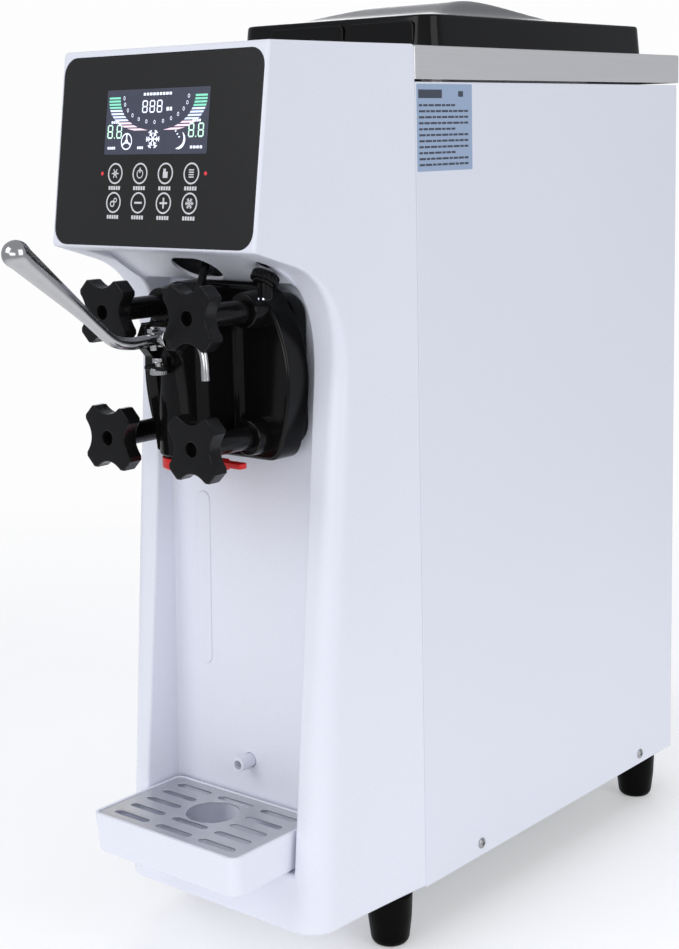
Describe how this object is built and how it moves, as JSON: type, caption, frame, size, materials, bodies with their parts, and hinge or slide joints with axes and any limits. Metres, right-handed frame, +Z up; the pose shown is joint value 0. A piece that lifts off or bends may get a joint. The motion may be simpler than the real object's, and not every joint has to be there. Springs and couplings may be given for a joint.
{
  "type": "soft serve ice cream maker",
  "caption": "Countertop soft-serve ice cream maker: tall narrow casing, tilted touch panel, valve head with draw handle over a drip tray, lidded hopper on top.",
  "frame": {"origin": "centre of the whole machine's footprint, on the surface under its feet", "axes": "+Z up, -Y the front with the handle and control panel, +X the machine's right as seen from the front"},
  "size_m": [0.2152, 0.6752, 0.7083],
  "materials": {
    "white_plastic": "moulded, glossy",
    "white_paint": "powder-coated, satin",
    "stainless": "brushed",
    "galvanised": "galvanised sheet",
    "chrome": "polished",
    "black_gloss": "glossy moulded",
    "black_satin": "satin moulded",
    "rubber": "moulded rubber",
    "seal": "silicone",
    "panel_glass": "dark backed glass",
    "display": "lit display",
    "board": "circuit board",
    "red_plastic": "moulded silicone",
    "foam": "rigid foam",
    "copper": "drawn copper tube",
    "aluminium": "cast and sheet",
    "black_paint": "black enamel",
    "food_plastic": "natural acetal"
  },
  "bodies": {
    "machine": {"base_pan": "galvanised", "right_side_panel": "white_paint", "left_side_panel": "white_paint", "rear_panel": "white_paint", "top_rim": "stainless", "front_fascia": "white_plastic", "control_glass": "panel_glass", "display_module": "display", "control_board": "board", "foot_front_right": "rubber", "foot_front_left": "rubber", "foot_rear_right": "rubber", "foot_rear_left": "rubber", "hopper": "stainless", "freezing_cylinder": "stainless", "cylinder_insulation": "foam", "shaft_seal": "rubber", "gearbox": "aluminium", "beater_motor": "black_paint", "drive_frame": "galvanised", "drive_belt": "rubber", "compressor": "black_paint", "condenser": "aluminium", "fan_shroud": "galvanised", "fan_motor": "black_paint", "discharge_pipe": "copper", "suction_pipe": "copper", "filter_drier": "copper", "electrics_box": "black_satin", "run_capacitor": "aluminium", "cord_gland": "black_satin", "dispensing_head": "black_gloss", "head_seal": "seal", "handle_pin": "chrome", "adjuster_spring": "chrome", "head_stud_upper_left": "chrome", "head_stud_upper_right": "chrome", "head_stud_lower_left": "chrome", "head_stud_lower_right": "chrome", "microswitch": "black_satin", "work_lamp": "black_satin", "drain_spout": "white_plastic"},
    "handle": {"draw_handle": "chrome"},
    "valve": {"valve_piston": "food_plastic", "piston_ring": "rubber"},
    "switch": {"switch_lever": "black_satin"},
    "adjuster": {"adjusting_screw": "chrome"},
    "cap": {"nozzle_cap": "red_plastic"},
    "tray": {"drip_tray": "white_plastic"},
    "grille": {"drip_grille": "stainless"},
    "lid": {"hopper_lid": "black_gloss"},
    "feed_tube": {"air_tube": "food_plastic"},
    "beater": {"beater": "stainless"},
    "gear_input": {"driven_pulley": "aluminium"},
    "motor_rotor": {"motor_pulley": "aluminium"},
    "fan": {"fan_blade": "aluminium"},
    "knob_upper_left": {"star_knob_upper_left": "black_satin"},
    "knob_upper_right": {"star_knob_upper_right": "black_satin"},
    "knob_lower_left": {"star_knob_lower_left": "black_satin"},
    "knob_lower_right": {"star_knob_lower_right": "black_satin"}
  },
  "joints": [
    {"name": "handle_pull", "type": "hinge", "parent": "machine", "child": "handle", "pos_m": [0, -0.2064, 0.4684], "axis": [1, 0, 0], "range_deg": [0, 36]},
    {"name": "valve_lift", "type": "slide", "parent": "machine", "child": "valve", "axis": [0, 0, 1], "range_m": [0, 0.0164]},
    {"name": "switch_rock", "type": "hinge", "parent": "machine", "child": "switch", "pos_m": [0.003, -0.1614, 0.524], "axis": [1, 0, 0], "range_deg": [-32.6, 0]},
    {"name": "adjuster_turn", "type": "hinge", "parent": "machine", "child": "adjuster", "pos_m": [0, -0.2114, 0.446], "axis": [0, 0, 1], "continuous": true},
    {"name": "cap_pull", "type": "slide", "parent": "machine", "child": "cap", "axis": [0, 0, -1], "range_m": [0, 0.04]},
    {"name": "tray_slide", "type": "slide", "parent": "machine", "child": "tray", "axis": [0, -1, 0], "range_m": [0, 0.06]},
    {"name": "grille_lift", "type": "slide", "parent": "tray", "child": "grille", "axis": [0, 0, 1], "range_m": [0, 0.0218]},
    {"name": "lid_lift", "type": "slide", "parent": "machine", "child": "lid", "axis": [0, 0, 1], "range_m": [0, 0.09]},
    {"name": "feed_tube_lift", "type": "slide", "parent": "machine", "child": "feed_tube", "axis": [0, 0, 1], "range_m": [0, 0.022]},
    {"name": "beater_spin", "type": "hinge", "parent": "machine", "child": "beater", "pos_m": [0, -0.0364, 0.441], "axis": [0, 1, 0], "continuous": true},
    {"name": "gear_input_spin", "type": "hinge", "parent": "machine", "child": "gear_input", "pos_m": [0, 0.1236, 0.441], "axis": [0, 1, 0], "continuous": true},
    {"name": "motor_spin", "type": "hinge", "parent": "machine", "child": "motor_rotor", "pos_m": [0, 0.1236, 0.291], "axis": [0, 1, 0], "continuous": true},
    {"name": "fan_spin", "type": "hinge", "parent": "machine", "child": "fan", "pos_m": [0, 0.2316, 0.18], "axis": [0, 1, 0], "continuous": true},
    {"name": "knob_upper_left_turn", "type": "hinge", "parent": "machine", "child": "knob_upper_left", "pos_m": [-0.0413, -0.2154, 0.4855], "axis": [0, 1, 0], "continuous": true},
    {"name": "knob_lower_left_turn", "type": "hinge", "parent": "machine", "child": "knob_lower_left", "pos_m": [-0.0413, -0.2154, 0.3965], "axis": [0, 1, 0], "continuous": true},
    {"name": "knob_upper_right_turn", "type": "hinge", "parent": "machine", "child": "knob_upper_right", "pos_m": [0.0413, -0.2154, 0.4855], "axis": [0, 1, 0], "continuous": true},
    {"name": "knob_lower_right_turn", "type": "hinge", "parent": "machine", "child": "knob_lower_right", "pos_m": [0.0413, -0.2154, 0.3965], "axis": [0, 1, 0], "continuous": true}
  ],
  "couplings": [
    {"joint": "valve_lift", "follows": "handle_pull", "m_per_rad": 0.026},
    {"joint": "switch_rock", "follows": "handle_pull", "ratio": -0.9},
    {"joint": "gear_input_spin", "follows": "beater_spin", "ratio": 5},
    {"joint": "motor_spin", "follows": "beater_spin", "ratio": 10}
  ]
}
